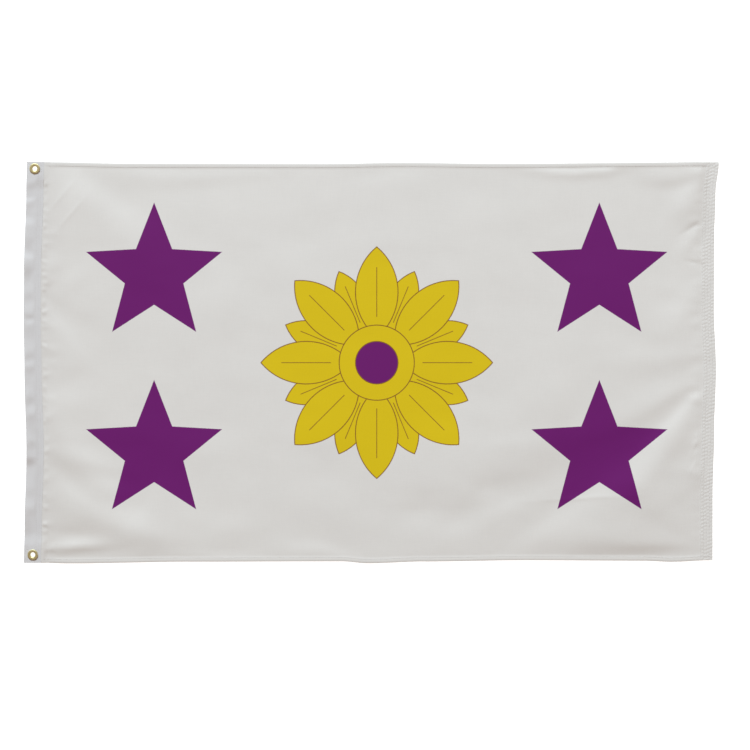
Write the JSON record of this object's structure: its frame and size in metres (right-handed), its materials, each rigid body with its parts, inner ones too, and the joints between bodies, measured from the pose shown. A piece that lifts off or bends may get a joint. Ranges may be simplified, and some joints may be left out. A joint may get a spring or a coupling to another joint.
{
  "type": "cloth flag",
  "caption": "Rectangular cloth flag lying flat, face up, with sewn hems, a folded canvas heading along its hoist edge and brass eyelets that it is tied up by.",
  "frame": {"origin": "on the surface that the flag lies on, under the middle of its outline", "axes": "+X from the hoist edge to the fly edge, +Y from the bottom edge to the top edge, +Z out of the printed face"},
  "size_m": [1.537, 0.8882, 0.0072],
  "materials": {
    "field_cloth": "printed white woven cloth, soft sheen",
    "heading_canvas": "plain white canvas, matte",
    "eyelet_brass": "polished, slightly worn"
  },
  "bodies": {
    "root": {"field": "field_cloth", "heading": "heading_canvas", "eyelet_top": "eyelet_brass", "washer_top": "eyelet_brass", "eyelet_bottom": "eyelet_brass", "washer_bottom": "eyelet_brass"}
  },
  "joints": []
}
